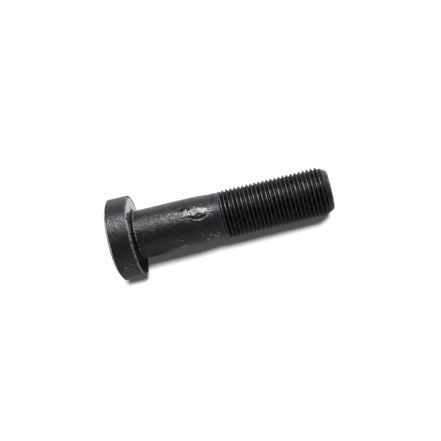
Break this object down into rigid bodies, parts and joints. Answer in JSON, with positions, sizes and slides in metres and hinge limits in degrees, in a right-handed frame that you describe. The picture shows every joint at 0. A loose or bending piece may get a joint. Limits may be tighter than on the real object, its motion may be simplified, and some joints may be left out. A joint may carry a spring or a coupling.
{
  "type": "wheel bolt",
  "caption": "Black steel wheel bolt: a plain round flat head, a smooth shank and a long fine-threaded end with a smooth pointed tip, to hold a wheel on its hub",
  "frame": {"origin": "centre of the head's flat end face, on which the bolt stands", "axes": "+Z runs along the bolt's axis from the head to the point; X and Y are across the axis, and the bolt looks the same from every side but for the thread's start"},
  "size_m": [0.0304, 0.0304, 0.0809],
  "materials": {
    "black_steel": "black oxide on forged and rolled steel, lightly oiled, half gloss"
  },
  "bodies": {
    "root": {"wheel_bolt": "black_steel"}
  },
  "joints": []
}
